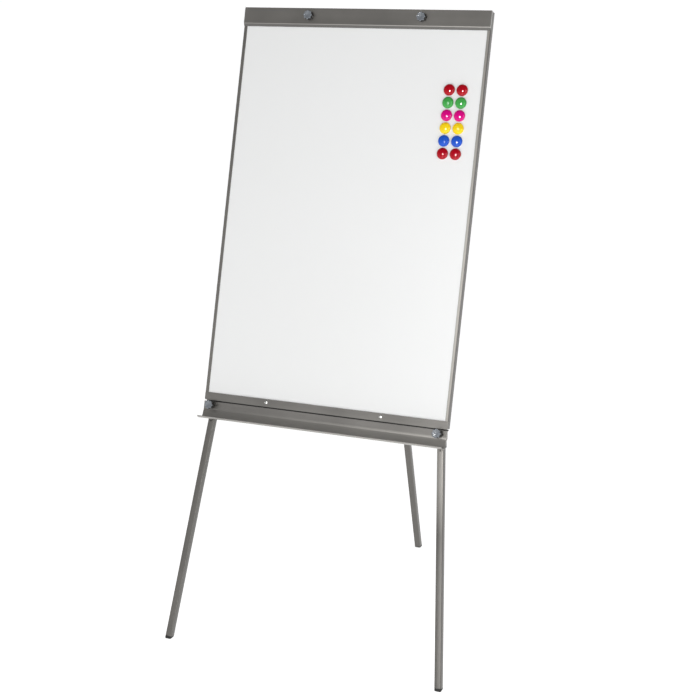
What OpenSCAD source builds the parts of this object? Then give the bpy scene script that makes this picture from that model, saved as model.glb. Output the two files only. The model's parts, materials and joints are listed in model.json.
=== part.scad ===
// Flipchart easel: a magnetic board on two splayed telescopic front legs and one folding rear leg.
// Units are millimetres. X runs along the board, Y to the back, Z up. The floor is Z = 0.

/* [Board] */
// Width of the board over its side frames
board_w = 700; // [600:10:760]
// Height from the underside of the bottom rail to the top of the clamp bar
board_h = 1070; // [1000:10:1150]
// Height of the bottom rail's front edge above the floor
board_z = 648; // [560:1:700]
// How far the board leans back from upright, in degrees
tilt = 15.5; // [12:0.5:18]
// Visible width of the side frames
frame_w = 9; // [8:0.5:12]
// Depth of the side frames
frame_d = 18; // [16:0.5:22]
// Height of the bottom rail
bottom_rail_h = 21; // [18:1:26]
// Height of the top rail's front flange
top_rail_h = 45; // [40:1:48]

/* [Clamp bar] */
// Height of the clamp bar
bar_h = 50; // [46:1:60]
// How far the clamp bar's face stands in front of the board frame
bar_d = 5; // [4:0.5:8]
// Height of the bar's sloping lower edge
bar_slope_h = 8; // [5:0.5:12]
// X of the left stud
stud_left_x = -156; // [-180:1:-130]
// Distance between the two studs
stud_spacing = 320; // [300:1:330]
// Distance of the studs below the bar's top edge
stud_drop = 21; // [18:1:26]

/* [Pen tray] */
// Gap between the bottom rail and the tray
tray_gap = 3; // [2:0.5:5]
// Height of the tray's upright strip
tray_strip_h = 22.5; // [16:0.5:24]
// Depth of the tray floor under the board, down to its corner
tray_floor_v = -49.5; // [-54:0.5:-44]
// How far the tray's back wall leans forward at its foot
tray_lean = 6; // [3:0.5:9]
// Reach of the tray's front lip
tray_reach = 35; // [30:1:45]
// Thickness of the tray sheet
tray_t = 1.5; // [1:0.1:2]

/* [Legs] */
// Distance of each front leg's line from the centre, at the board's lower edge
leg_half_span = 326; // [318:1:328]
// Splay of the front legs, in degrees
splay = 5.8; // [4:0.1:6.5]
// Outer width of the upper leg tubes
tube_w = 22; // [21.5:0.5:23]
// Wall of the upper leg tubes
tube_wall = 1.5; // [1.2:0.1:1.6]
// Outer width of the sliding legs
leg_w = 18; // [16:0.5:18]
// Wall of the sliding legs
leg_wall = 1.2; // [1:0.1:1.5]
// Distance of the rear foot behind the board's lower edge
rear_foot_y = 750; // [650:5:850]
// Length of each sliding leg that stays inside its tube
leg_overlap = 280; // [240:5:300]
// Length of the rear tube below its pivot
rear_tube_len = 1000; // [900:10:1050]

/* [Hinge] */
// Height of the rear leg's pivot up the board
pivot_v = 931; // [900:1:940]
// Depth of the rear leg's pivot behind the board's front
pivot_d = 55.5; // [55:0.5:59]
// Radius of the pivot bolt
pivot_r = 4; // [3:0.5:4]

/* [Knobs] */
// Radius of the star knobs over their lobes
knob_r = 12.5; // [11:0.5:14]
// Number of lobes
knob_lobes = 8; // [6:1:10]
// Total height of a knob
knob_h = 15; // [14:0.5:18]
// Radius of the studs
stud_r = 2.95; // [2.5:0.05:3]
// Distance of the leg knobs below the board's lower edge
leg_knob_drop = 12; // [10:0.5:14]
// Gap between a leg knob and the tray
leg_knob_gap = 6; // [4:0.5:8]

/* [Magnets] */
// Radius of a magnet
magnet_r = 15; // [12:0.5:16]
// Height of a magnet
magnet_h = 9; // [8:0.5:10]
// X of the left column
magnet_x = 256; // [200:1:270]
// Distance between the columns
magnet_column_pitch = 35; // [32:0.5:40]
// Height of the top row up the board
magnet_v = 866; // [600:1:940]
// Distance between the rows
magnet_row_pitch = 32.8; // [32.5:0.1:60]

/* [Hidden] */
MAGNET_ROWS = [1, 2, 3, 4, 5, 6];
MAGNET_COLOURS = ["crimson", "limegreen", "deeppink", "gold", "royalblue", "crimson"];
FRAME_GREY = "#767370";
TRAY_GREY = "#7c7974";
LEG_GREY = "#85837f";
ZINC = "#c9c9c6";
KNOB_FACE = "#7d848c";
BLACK = "#1d1d1c";
$fn = 48;
CUT = 1000;

// Board stack, as depths behind the front plane of the rails
sheet_t = 1.2;
panel_front = 2 * sheet_t;
face_t = 0.5;
panel_back = 11.3;
back_t = 0.4;
rail_d = 13.5;
rail_half = board_w / 2 - frame_w - 0.5;
panel_gap = 2;
panel_low = 4;
panel_high = board_h - 5;
frame_low = 1.5;
rail_corner_r = 4;
rail_lip = 4;
rail_lip_half = board_w / 2 - 1;
screw_x = 165;
screw_v = 11.5;
screw_r = 2;
screw_rim_r = 4.5;
screw_rim_h = 1.2;
screw_crown_r = 3.6;
screw_crown_h = 2.4;
stud_v = board_h - stud_drop;
stud_hole_r = 3.5;
stud_flange_r = 5;
stud_flange_back = panel_front - 0.1;

// Tray
lip_r = 14;
lip_angle = 50;
lip_steps = 6;
lip_start = tray_reach - lip_r * sin(lip_angle) - tray_t;

// Front legs, in a frame whose Z runs up the leg line
leg_d = rail_d + tube_w / 2;
tube_low = -28;
tube_high = 1050;
collar_low = -49;
collar_r = 0.5;
bracket_t = 2;
bracket_front = tray_t - leg_d;
bracket_high = -5.5;
bracket_taper = -25;
bracket_low = -47;
floor_v = (leg_d * sin(tilt) - board_z) / cos(tilt);
leg_line = -floor_v / cos(splay);
foot_lip = 6;
foot_plug_h = 25;
peg_hole_z = -57;
peg_hole_r = 1.8;

// Clamps: stud, pad and boss, measured from the face of the sliding leg
pad_r = 4;
pad_h = 3;
boss_r = 6.5;
boss_h = 10;
boss_seat_h = 4.5;
boss_bore_r = stud_r + 0.05;
knob_socket = 11;
front_knob_base = leg_d + leg_knob_gap;
rear_knob_base = tube_w / 2 + boss_h + 3;

// Knobs
knob_neck_h = 3;
knob_neck_r = 7;
scallop_r = 2.8;
cap_seat = 2;
cap_proud = 0.5;

// Crossbar, hinge and rear leg
crossbar_t = 3;
crossbar_h = 40;
crossbar_v = 935;
crossbar_front = rail_d + tube_w;
crossbar_half = 246;
bolt_head_r = 4.5;
bolt_head_h = 3.5;
bolt_r = 2.5;
bolt_len = 24;
top_bolt_v = 1036;
bracket_base = crossbar_front + crossbar_t;
ear_gap = tube_w + 1;
ear_t = 3;
ear_r = 9;
pivot_clear = 0.05;
hinge_hex_r = 7.5;
hinge_head_h = 5;
hinge_tail = 8;
hinge_nut_h = 6.5;
pivot_y = pivot_d * cos(tilt) + pivot_v * sin(tilt);
pivot_z = board_z - pivot_d * sin(tilt) + pivot_v * cos(tilt);
rear_angle = atan2(rear_foot_y - pivot_y, pivot_z);
rear_line = norm([rear_foot_y - pivot_y, pivot_z]);
stop_gap = pivot_d - bracket_base - ear_t - 0.1;
rest_angle = tilt + rear_angle;
rear_head = (stop_gap - tube_w / 2 * cos(rest_angle)) / sin(rest_angle);
rear_clamp_rise = 25;
rear_boss_z = rear_clamp_rise - rear_tube_len;

// The origin is the middle of the object's footprint
front_edge_d = leg_d - leg_w / 2;
front_edge_v = (front_edge_d * sin(tilt) - board_z) / cos(tilt);
front_edge_y = front_edge_d * cos(tilt) + front_edge_v * sin(tilt);
rear_edge_y = rear_foot_y + leg_w / 2 / cos(rear_angle);
origin_y = (front_edge_y + rear_edge_y) / 2;

// Children drawn as x, depth behind the board's front, height up the board
module on_board() {
    translate([0, -origin_y, board_z]) rotate([-tilt, 0, 0]) children();
}

// Children drawn about the line of a front leg, side -1 is left
module on_front_leg(side) {
    on_board() translate([side * leg_half_span, leg_d, 0]) rotate([0, -side * splay, 0]) children();
}

// Children drawn about the rear leg's pivot, with the leg along -Z
module on_rear_leg() {
    translate([0, pivot_y - origin_y, pivot_z]) rotate([rear_angle, 0, 0]) children();
}

// Children drawn outward from a point of the board, as a knob sits
module outward(x, d, v) {
    on_board() translate([x, d, v]) rotate([90, 0, 0]) children();
}

// A box given by its low corner and its high corner
module block(low, high) {
    translate(low) cube(high - low);
}

// Cylinder along the depth direction, from one depth to another
module depth_rod(x, v, from, to, r) {
    translate([x, from, v]) rotate([-90, 0, 0]) cylinder(r = r, h = to - from);
}

// Square tube along Z
module square_tube(w, wall, low, high) {
    difference() {
        block([-w / 2, -w / 2, low], [w / 2, w / 2, high]);
        block([wall - w / 2, wall - w / 2, low - 1], [w / 2 - wall, w / 2 - wall, high + 1]);
    }
}

// Left and right normals of a path, for a sheet of constant thickness
function unit(p) = p / norm(p);
function side_of(p) = [-p[1], p[0]];
function joint_normal(path, i) =
    let (a = unit(path[i] - path[i - 1]), b = unit(path[i + 1] - path[i]), m = unit(a + b))
    side_of(m) / (side_of(m) * side_of(a));
function path_normal(path, i) =
    i == 0 ? side_of(unit(path[1] - path[0]))
    : i == len(path) - 1 ? side_of(unit(path[i] - path[i - 1]))
    : joint_normal(path, i);
function sheet_outline(path, t) = concat(
    path,
    [for (i = [len(path) - 1 : -1 : 0]) path[i] + t * path_normal(path, i)]
);

// Extrusion along X of a profile drawn as [depth, height]
module along_x(half) {
    rotate([90, 0, 90]) translate([0, 0, -half]) linear_extrude(2 * half) children();
}

// ---- Board panel ----

module panel_layer(front, back, hole_r) {
    half = board_w / 2 - panel_gap;
    difference() {
        block([-half, front, panel_low], [half, back, panel_high]);
        for (side = [-1, 1]) depth_rod(side * screw_x, screw_v, front - 1, back + 1, hole_r);
    }
}

module board_face_sheet() {
    color("white") on_board() panel_layer(panel_front, panel_front + face_t, screw_r);
}

module board_core() {
    color("tan") on_board() panel_layer(panel_front + face_t, panel_back - back_t, screw_r);
}

module board_back_sheet() {
    color("gainsboro") on_board() panel_layer(panel_back - back_t, panel_back, screw_r);
}

// ---- Board frame ----

// Profile with a slot for the panel in front and a closed box behind it, [inward, depth]
module side_profile() {
    difference() {
        translate([0, sheet_t]) square([frame_w, frame_d - sheet_t]);
        translate([sheet_t, panel_front]) square([frame_w, panel_back - panel_front]);
        translate([sheet_t, panel_back + sheet_t])
            square([frame_w - 2 * sheet_t, frame_d - panel_back - 2 * sheet_t]);
    }
}

module side_frame(side) {
    color(FRAME_GREY) on_board() scale([side, 1, 1]) translate([board_w / 2, 0, frame_low])
        mirror([1, 0, 0]) linear_extrude(board_h - 2 * frame_low) side_profile();
}

// Flange of a rail in the board's front plane, with two rounded lower corners
module bottom_flange() {
    half = board_w / 2;
    translate([-half, rail_corner_r]) square([board_w, bottom_rail_h - rail_corner_r]);
    translate([rail_corner_r - half, 0]) square([board_w - 2 * rail_corner_r, bottom_rail_h]);
    for (side = [-1, 1]) translate([side * (half - rail_corner_r), rail_corner_r])
        circle(r = rail_corner_r);
}

module bottom_rail() {
    color(FRAME_GREY) on_board() difference() {
        union() {
            translate([0, sheet_t, 0]) rotate([90, 0, 0]) linear_extrude(sheet_t) bottom_flange();
            block([-rail_half, 0, 0], [rail_half, rail_d, sheet_t]);
            block([-rail_half, rail_d - sheet_t, 0], [rail_half, rail_d, bottom_rail_h]);
            block([-rail_lip_half, rail_d - sheet_t, -rail_lip], [rail_lip_half, rail_d, 0]);
        }
        for (side = [-1, 1]) depth_rod(side * screw_x, screw_v, -1, rail_d + 1, screw_r);
    }
}

module top_rail() {
    color(FRAME_GREY) on_board() difference() {
        union() {
            block([-board_w / 2, 0, board_h - top_rail_h], [board_w / 2, sheet_t, board_h]);
            block([-rail_half, 0, board_h - sheet_t], [rail_half, rail_d, board_h]);
            block([-rail_half, rail_d - sheet_t, board_h - top_rail_h], [rail_half, rail_d, board_h]);
        }
        for (x = [stud_left_x, stud_left_x + stud_spacing])
            depth_rod(x, stud_v, -1, sheet_t + 1, stud_r);
        for (side = [-1, 1]) on_leg_line(side, top_bolt_v)
            depth_rod(0, 0, rail_d - sheet_t - 1, rail_d + 1, bolt_r);
    }
}

// Children moved along X to where a front leg's line is at height v
module on_leg_line(side, v) {
    translate([side * (leg_half_span - v * tan(splay)), 0, v]) children();
}

// Pan heads on shanks that hold the rail's two flanges to the panel
module rail_screws() {
    color(ZINC) on_board() for (side = [-1, 1]) {
        depth_rod(side * screw_x, screw_v, -screw_rim_h, 0, screw_rim_r);
        depth_rod(side * screw_x, screw_v, -screw_crown_h, -screw_rim_h, screw_crown_r);
        depth_rod(side * screw_x, screw_v, 0, rail_d, screw_r);
    }
}

// Weld studs that carry the clamp bar and the pad's punched holes
module pad_studs() {
    color(ZINC) on_board() for (x = [stud_left_x, stud_left_x + stud_spacing]) {
        depth_rod(x, stud_v, 0.5 - bar_d - knob_socket, sheet_t, stud_r);
        depth_rod(x, stud_v, sheet_t, stud_flange_back, stud_flange_r);
    }
}

// ---- Pen tray and its brackets ----

// Front face of the tray as [depth, height], from the top edge to the tip of the lip
function tray_path() = concat(
    [[0, -tray_gap], [0, -tray_gap - tray_strip_h], [-tray_lean, tray_floor_v + tray_t]],
    [for (i = [0 : lip_steps])
        let (a = lip_angle * i / lip_steps)
        [-lip_start - lip_r * sin(a), tray_floor_v + tray_t + lip_r * (1 - cos(a))]]
);

module pen_tray() {
    color(TRAY_GREY) on_board() difference() {
        along_x(board_w / 2) polygon(sheet_outline(tray_path(), tray_t));
        for (side = [-1, 1]) on_leg_line(side, -leg_knob_drop)
            depth_rod(0, 0, -1, tray_t + 1, stud_hole_r);
    }
}

// Tapered cheek of a tray bracket, drawn as [depth, height] about the leg line
module bracket_cheek(x) {
    translate([x, 0, 0]) along_x(bracket_t / 2) polygon([
        [bracket_front, bracket_high],
        [tube_w / 2, bracket_high],
        [tube_w / 2, bracket_taper],
        [-tube_w / 2, bracket_low],
        [bracket_front, bracket_low]
    ]);
}

module tray_bracket(side) {
    outer = tube_w / 2 + bracket_t;
    color(FRAME_GREY) on_front_leg(side) difference() {
        union() {
            for (s = [-1, 1]) bracket_cheek(s * (outer - bracket_t / 2));
            block([-outer, bracket_front, bracket_low],
                  [outer, bracket_front + bracket_t, bracket_high]);
        }
        depth_rod(0, -leg_knob_drop, bracket_front - 1, bracket_front + bracket_t + 1, stud_hole_r);
    }
}

// Boss with a threaded bore and a seat for the pad, along +Z from the tube's wall
module threaded_boss() {
    difference() {
        cylinder(r = boss_r, h = boss_h);
        translate([0, 0, -1]) cylinder(r = boss_bore_r, h = boss_h + 2);
        translate([0, 0, -1]) cylinder(r = pad_r + 0.1, h = boss_seat_h + 1);
    }
}

// Children drawn outward from the axis of a front leg at its clamp
module at_front_clamp(side) {
    on_front_leg(side) translate([0, 0, -leg_knob_drop]) rotate([90, 0, 0]) children();
}

module threaded_bosses() {
    color(ZINC) for (side = [-1, 1])
        at_front_clamp(side) translate([0, 0, tube_w / 2]) threaded_boss();
}

// ---- Front leg tubes ----

module leg_tube(side) {
    color(LEG_GREY) difference() {
        on_front_leg(side) square_tube(tube_w, tube_wall, tube_low, tube_high);
        at_front_clamp(side) cylinder(r = pad_r + 0.1, h = tube_w);
        on_board() for (v = [crossbar_v, top_bolt_v]) on_leg_line(side, v)
            depth_rod(0, 0, rail_d - 1, crossbar_front + 1, bolt_r);
    }
}

module tube_collar(low, high) {
    square_tube(tube_w, (tube_w - leg_w - collar_r) / 2, low, high);
}

module tube_collars() {
    color(BLACK) for (side = [-1, 1]) on_front_leg(side) tube_collar(collar_low, tube_low);
}

// ---- Crossbar, bolts and hinge ----

module crossbar() {
    color(FRAME_GREY) on_board() difference() {
        block([-crossbar_half, crossbar_front, crossbar_v - crossbar_h / 2],
              [crossbar_half, crossbar_front + crossbar_t, crossbar_v + crossbar_h / 2]);
        for (side = [-1, 1]) on_leg_line(side, crossbar_v)
            depth_rod(0, 0, crossbar_front - 1, crossbar_front + crossbar_t + 1, bolt_r);
    }
}

// One bolt with its head on the surface at the given depth, its shank towards the board
module frame_bolt(side, v, seat) {
    on_leg_line(side, v) {
        depth_rod(0, 0, seat, seat + bolt_head_h, bolt_head_r);
        depth_rod(0, 0, seat - bolt_len, seat, bolt_r);
    }
}

module frame_bolts() {
    color(ZINC) on_board() for (side = [-1, 1]) {
        frame_bolt(side, crossbar_v, crossbar_front + crossbar_t);
        frame_bolt(side, top_bolt_v, crossbar_front);
    }
}

// Round-ended ear of the hinge bracket, drawn as [depth, height]
module ear_outline() {
    translate([bracket_base, pivot_v - ear_r]) square([pivot_d - bracket_base, 2 * ear_r]);
    translate([pivot_d, pivot_v]) circle(r = ear_r);
}

module hinge_bracket() {
    outer = ear_gap / 2 + ear_t;
    color(FRAME_GREY) on_board() difference() {
        union() {
            block([-outer, bracket_base, pivot_v - ear_r], [outer, bracket_base + ear_t, pivot_v + ear_r]);
            for (s = [-1, 1]) translate([s * (ear_gap + ear_t) / 2, 0, 0])
                along_x(ear_t / 2) ear_outline();
        }
        translate([-outer - 1, pivot_d, pivot_v]) rotate([0, 90, 0])
            cylinder(r = pivot_r + pivot_clear, h = 2 * outer + 2);
    }
}

// Children drawn along +X about the pivot, from a face at the given x
module along_pivot(x) {
    on_board() translate([x, pivot_d, pivot_v]) rotate([0, 90, 0]) children();
}

module hinge_bolt() {
    outer = ear_gap / 2 + ear_t;
    color(ZINC) {
        along_pivot(-outer - hinge_head_h) cylinder(r = hinge_hex_r, h = hinge_head_h, $fn = 6);
        along_pivot(-outer) cylinder(r = pivot_r, h = 2 * outer + hinge_tail);
    }
}

module hinge_nut() {
    color(ZINC) along_pivot(ear_gap / 2 + ear_t) difference() {
        cylinder(r = hinge_hex_r, h = hinge_nut_h, $fn = 6);
        translate([0, 0, -1]) cylinder(r = pivot_r, h = hinge_nut_h + 2);
    }
}

// ---- Clamp bar ----

// Outer profile of the bar as [depth, height], inset by the sheet for its hollow
module bar_profile(inset) {
    low = board_h - bar_h;
    slope = low + bar_slope_h;
    polygon([
        [0, low + 2 * inset],
        [inset - bar_d, slope + inset / 2],
        [inset - bar_d, board_h - inset],
        [0, board_h - inset]
    ]);
}

module clamp_bar() {
    color(FRAME_GREY) on_board() difference() {
        along_x(board_w / 2) bar_profile(0);
        along_x(board_w / 2 - sheet_t) bar_profile(sheet_t);
        for (x = [stud_left_x, stud_left_x + stud_spacing])
            depth_rod(x, stud_v, -bar_d - 1, 1, stud_hole_r);
    }
}

// ---- Star knobs, drawn outward along +Z ----

module knob_outline(r) {
    difference() {
        circle(r = r);
        for (i = [0 : knob_lobes - 1]) rotate(360 * (i + 0.5) / knob_lobes)
            translate([r + scallop_r / 2, 0]) circle(r = scallop_r);
    }
}

// Neck and lobed body with a blind socket for the stud and a seat for the cap
module knob_body(socket_r) {
    difference() {
        union() {
            cylinder(r = knob_neck_r, h = knob_neck_h);
            translate([0, 0, knob_neck_h])
                linear_extrude(knob_h - cap_proud - knob_neck_h) knob_outline(knob_r);
        }
        translate([0, 0, -1]) cylinder(r = socket_r, h = knob_socket + 1);
        translate([0, 0, knob_h - cap_seat]) linear_extrude(cap_seat) knob_outline(knob_r - 1);
    }
}

module knob_cap() {
    translate([0, 0, knob_h - cap_seat]) linear_extrude(cap_seat) knob_outline(knob_r - 1);
}

module at_clamp_knob(x) {
    outward(x, -bar_d, stud_v) children();
}

module clamp_knob(x) {
    color(BLACK) at_clamp_knob(x) knob_body(boss_bore_r);
}

module clamp_knob_cap(x) {
    color(KNOB_FACE) at_clamp_knob(x) knob_cap();
}

// ---- Leg clamps: outward along +Z from the leg's axis; knob_base is the knob's foot ----

module at_rear_clamp() {
    on_rear_leg() translate([0, 0, rear_boss_z]) rotate([-90, 0, 0]) children();
}

module clamp_pad() {
    translate([0, 0, leg_w / 2]) cylinder(r = pad_r, h = pad_h);
}

module clamp_stud(knob_base) {
    low = leg_w / 2 + pad_h;
    translate([0, 0, low]) cylinder(r = stud_r, h = knob_base + knob_socket - low);
}

module leg_pad(side) {
    color("ivory") at_front_clamp(side) clamp_pad();
}

module leg_knob(side) {
    color(BLACK) at_front_clamp(side) translate([0, 0, front_knob_base]) knob_body(stud_r);
}

module leg_knob_cap(side) {
    color(KNOB_FACE) at_front_clamp(side) translate([0, 0, front_knob_base]) knob_cap();
}

module leg_knob_stud(side) {
    color(ZINC) at_front_clamp(side) clamp_stud(front_knob_base);
}

module rear_pad() {
    color("ivory") at_rear_clamp() clamp_pad();
}

module rear_knob() {
    color(BLACK) at_rear_clamp() translate([0, 0, rear_knob_base]) knob_body(stud_r);
}

module rear_knob_cap() {
    color(KNOB_FACE) at_rear_clamp() translate([0, 0, rear_knob_base]) knob_cap();
}

module rear_knob_stud() {
    color(ZINC) at_rear_clamp() clamp_stud(rear_knob_base);
}

// ---- Sliding legs and feet, along Z of their leg's frame ----

module sliding_leg(line, high) {
    square_tube(leg_w, leg_wall, foot_lip - line, high);
}

// Plug inside the tube with a lip that is cut level with the floor by the caller
module foot_plug(line) {
    inner = leg_w / 2 - leg_wall - 0.2;
    block([-leg_w / 2, -leg_w / 2, -line - foot_lip], [leg_w / 2, leg_w / 2, foot_lip - line]);
    block([-inner, -inner, foot_lip - line], [inner, inner, foot_lip + foot_plug_h - line]);
}

module above_floor() {
    difference() {
        children();
        block([-CUT, -CUT, -CUT], [CUT, CUT, 0]);
    }
}

module front_leg(side) {
    color(LEG_GREY) on_front_leg(side) difference() {
        sliding_leg(leg_line, leg_overlap + tube_low);
        depth_rod(0, peg_hole_z, -leg_w / 2 - 1, leg_wall + 1 - leg_w / 2, peg_hole_r);
    }
}

module front_foot(side) {
    color(BLACK) above_floor() on_front_leg(side) foot_plug(leg_line);
}

module rear_leg() {
    color(LEG_GREY) on_rear_leg() sliding_leg(rear_line, leg_overlap - rear_tube_len);
}

module foot_rear() {
    color(BLACK) above_floor() on_rear_leg() foot_plug(rear_line);
}

module rear_leg_tube() {
    color(LEG_GREY) on_rear_leg() difference() {
        square_tube(tube_w, tube_wall, -rear_tube_len, rear_head);
        translate([-tube_w, 0, 0]) rotate([0, 90, 0])
            cylinder(r = pivot_r + pivot_clear, h = 2 * tube_w);
        translate([0, 0, rear_boss_z]) rotate([-90, 0, 0]) cylinder(r = pad_r + 0.1, h = tube_w);
    }
}

module rear_boss() {
    color(ZINC) at_rear_clamp() translate([0, 0, tube_w / 2]) threaded_boss();
}

module rear_collar() {
    color(BLACK) on_rear_leg() tube_collar(collar_low - tube_low - rear_tube_len, -rear_tube_len);
}

// ---- Magnets ----

// Domed cap over a disc, standing on Z = 0
module magnet_body() {
    side_h = 4;
    dome_r = (pow(magnet_r, 2) + pow(magnet_h - side_h, 2)) / (2 * (magnet_h - side_h));
    disc_r = 11;
    disc_h = 4;
    difference() {
        intersection() {
            cylinder(r = magnet_r, h = magnet_h);
            translate([0, 0, magnet_h - dome_r]) sphere(r = dome_r);
        }
        translate([0, 0, -1]) cylinder(r = disc_r + 0.2, h = disc_h + 1.2);
    }
    cylinder(r = disc_r, h = disc_h);
}

// Column 0 is the left one
module magnet(row, column) {
    color(MAGNET_COLOURS[row - 1])
        outward(magnet_x + column * magnet_column_pitch, panel_front,
                magnet_v - (row - 1) * magnet_row_pitch)
        magnet_body();
}

board_face_sheet();
board_core();
board_back_sheet();
side_frame(-1);  // side_frame_left
side_frame(1);  // side_frame_right
top_rail();
bottom_rail();
rail_screws();
pad_studs();
pen_tray();
tray_bracket(-1);  // tray_bracket_left
tray_bracket(1);  // tray_bracket_right
threaded_bosses();
leg_tube(-1);  // leg_tube_left
leg_tube(1);  // leg_tube_right
tube_collars();
crossbar();
frame_bolts();
hinge_bracket();
hinge_bolt();
hinge_nut();
clamp_bar();
clamp_knob(stud_left_x);  // clamp_knob_left
clamp_knob_cap(stud_left_x);  // clamp_knob_left_cap
clamp_knob(stud_left_x + stud_spacing);  // clamp_knob_right
clamp_knob_cap(stud_left_x + stud_spacing);  // clamp_knob_right_cap
front_leg(-1);  // front_leg_left
front_foot(-1);  // foot_left
leg_pad(-1);  // leg_pad_left
leg_knob(-1);  // leg_knob_left
leg_knob_cap(-1);  // leg_knob_left_cap
leg_knob_stud(-1);  // leg_knob_left_stud
front_leg(1);  // front_leg_right
front_foot(1);  // foot_right
leg_pad(1);  // leg_pad_right
leg_knob(1);  // leg_knob_right
leg_knob_cap(1);  // leg_knob_right_cap
leg_knob_stud(1);  // leg_knob_right_stud
rear_leg_tube();
rear_boss();
rear_collar();
rear_leg();
foot_rear();
rear_pad();
rear_knob();
rear_knob_cap();
rear_knob_stud();
for (row = MAGNET_ROWS) {
    magnet(row, 0);
    magnet(row, 1);
}
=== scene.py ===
"""Flipchart easel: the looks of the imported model. Lengths are in metres, in the model's own frame."""
import math

import bmesh
import bpy
from mathutils import Matrix, Vector
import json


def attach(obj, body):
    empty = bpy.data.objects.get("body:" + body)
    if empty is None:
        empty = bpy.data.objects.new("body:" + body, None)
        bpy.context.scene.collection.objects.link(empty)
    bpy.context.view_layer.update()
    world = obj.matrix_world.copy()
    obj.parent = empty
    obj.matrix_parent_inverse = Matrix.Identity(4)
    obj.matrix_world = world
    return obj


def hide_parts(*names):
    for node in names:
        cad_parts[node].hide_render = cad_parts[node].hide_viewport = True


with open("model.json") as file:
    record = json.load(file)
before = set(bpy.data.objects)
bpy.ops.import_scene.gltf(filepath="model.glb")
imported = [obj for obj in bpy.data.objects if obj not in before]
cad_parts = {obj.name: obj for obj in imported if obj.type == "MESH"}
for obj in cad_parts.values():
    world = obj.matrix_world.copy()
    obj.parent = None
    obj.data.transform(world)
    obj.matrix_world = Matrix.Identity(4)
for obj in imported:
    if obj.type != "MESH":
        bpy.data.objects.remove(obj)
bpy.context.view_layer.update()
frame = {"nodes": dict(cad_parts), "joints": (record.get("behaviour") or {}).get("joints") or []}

MM = 0.001
X = Vector((1, 0, 0))
Y = Vector((0, 1, 0))
Z = Vector((0, 0, 1))
NODES = frame["nodes"]
SCENE = bpy.context.scene
SIDES = ("left", "right")
# Pieces that the glint lamp lights
SHINY = bpy.data.collections.new("shiny")


# ---- Places and directions, worked out from the frame ----

def joint_axis(name):
    """Direction of a joint in the row frame."""
    return Vector(next(j["axis"] for j in frame["joints"] if j["name"] == name)).normalized()


def axes(x, y, z):
    """Rotation from the local directions x, y and z to the row frame."""
    return Matrix((x, y, z)).transposed()


def span(node, turn, keep=None):
    """Lowest and highest corner of a CAD node along the axes of turn, of the points kept."""
    back = turn.transposed()
    points = [back @ v.co for v in NODES[node].data.vertices]
    columns = list(zip(*[p for p in points if keep is None or keep(p)]))
    return Vector(map(min, columns)), Vector(map(max, columns))


def on_side(side):
    """Test for points on one side of the object's middle."""
    def test(point):
        return (point.x > 0) == (side == "right")
    return test


# Board axes: x along the board, y into its depth, z up its face
OUT = joint_axis("clamp_bar_open")
BOARD = axes(X, -OUT, X.cross(-OUT))
# Knob axes: z out of the board's face
KNOB = axes(X, BOARD.col[2].copy(), OUT)


def leg_axes(joint, depth):
    """Axes of a leg: z up the leg, y the given depth direction."""
    up = joint_axis(joint)
    if up.z < 0:
        up = -up
    return axes(depth.cross(up), depth, up)


LEG = {
    "left": leg_axes("front_leg_left_slide", -OUT),
    "right": leg_axes("front_leg_right_slide", -OUT),
}
REAR_UP = -joint_axis("rear_leg_slide")
REAR = axes(X, REAR_UP.cross(X), REAR_UP)


# ---- Outlines ----

def rounded(corners, closed=False, steps=6):
    """Points of a path given as (a, b, radius), with each corner turned into an arc of its radius."""
    points = []
    for i, (a, b, radius) in enumerate(corners):
        here = Vector((a, b))
        if radius == 0 or (not closed and i in (0, len(corners) - 1)):
            points.append(here)
            continue
        before = (Vector(corners[i - 1][:2]) - here).normalized()
        after = (Vector(corners[(i + 1) % len(corners)][:2]) - here).normalized()
        half = before.angle(after) / 2
        centre = here + (before + after).normalized() * radius / math.sin(half)
        start = here + before * radius / math.tan(half) - centre
        first = math.atan2(start.y, start.x)
        sweep = math.pi - 2 * half
        if before.x * after.y - before.y * after.x > 0:
            sweep = -sweep
        for k in range(steps + 1):
            angle = first + sweep * k / steps
            points.append(centre + radius * Vector((math.cos(angle), math.sin(angle))))
    return points


def beside(path, distance):
    """The path moved sideways, to its left, by the distance."""
    shifted = []
    for i, point in enumerate(path):
        ahead = path[min(i + 1, len(path) - 1)] - point
        behind = point - path[max(i - 1, 0)]
        before = (behind if i else ahead).normalized()
        after = (ahead if ahead.length else behind).normalized()
        along = (before + after).normalized()
        share = distance / max(0.5, along.dot(before))
        shifted.append(point + share * Vector((-along.y, along.x)))
    return shifted


def square_loop(width, radius):
    """Rounded square about the origin."""
    h = width / 2
    corners = [(h, -h, radius), (h, h, radius), (-h, h, radius), (-h, -h, radius)]
    return rounded(corners, closed=True, steps=4)


# ---- Solids ----

def skinned(loops, ring=False):
    """Closed mesh through loops of points, capped at both ends or joined into a ring."""
    bm = bmesh.new()
    rows = [[bm.verts.new(p) for p in loop] for loop in loops]
    pairs = list(zip(rows, rows[1:]))
    if ring:
        pairs.append((rows[-1], rows[0]))
    for low, high in pairs:
        for i in range(len(low)):
            j = (i + 1) % len(low)
            bm.faces.new((low[i], low[j], high[j], high[i]))
    if not ring:
        bm.faces.new(rows[0][::-1])
        bm.faces.new(rows[-1])
    bmesh.ops.recalc_face_normals(bm, faces=bm.faces)
    return bm


def in_mm(*profile):
    """Points given in millimetres, in metres."""
    return [(r * MM, z * MM) for r, z in profile]


def lathe(profile, count=64, shape=None, ring=False):
    """Solid about Z through (radius, height) points. shape may change a radius with the angle."""
    loops = []
    for radius, height in profile:
        loop = []
        for i in range(count):
            angle = 2 * math.pi * i / count
            r = shape(radius, height, angle) if shape else radius
            loop.append((r * math.cos(angle), r * math.sin(angle), height))
        loops.append(loop)
    return skinned(loops, ring)


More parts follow.
